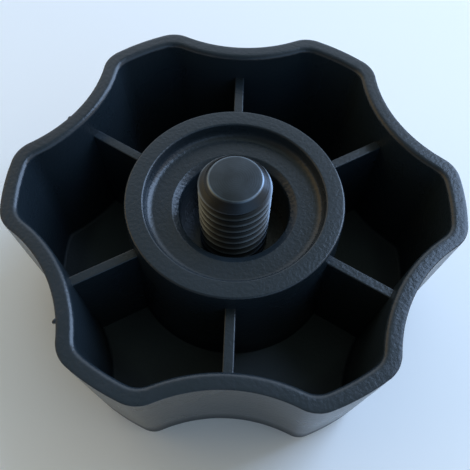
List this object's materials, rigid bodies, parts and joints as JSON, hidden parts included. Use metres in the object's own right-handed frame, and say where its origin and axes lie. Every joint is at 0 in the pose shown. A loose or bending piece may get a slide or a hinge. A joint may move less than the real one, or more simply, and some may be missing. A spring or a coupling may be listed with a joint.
{
  "type": "lobed hand knob",
  "caption": "Lobed clamping hand knob, hollow and ribbed underneath, with a short threaded steel stud standing in a counterbored hub.",
  "frame": {"origin": "centre of the crown's flat face, on which the knob lies", "axes": "+Z along the stud, out of the hub; one lobe points along +X and a finger hollow faces -Y"},
  "size_m": [0.05, 0.0466, 0.0212],
  "materials": {
    "black_plastic": "moulded satin black",
    "blackened_steel": "black oxide, lightly oiled"
  },
  "bodies": {
    "root": {"knob_body": "black_plastic", "threaded_stud": "blackened_steel"}
  },
  "joints": []
}
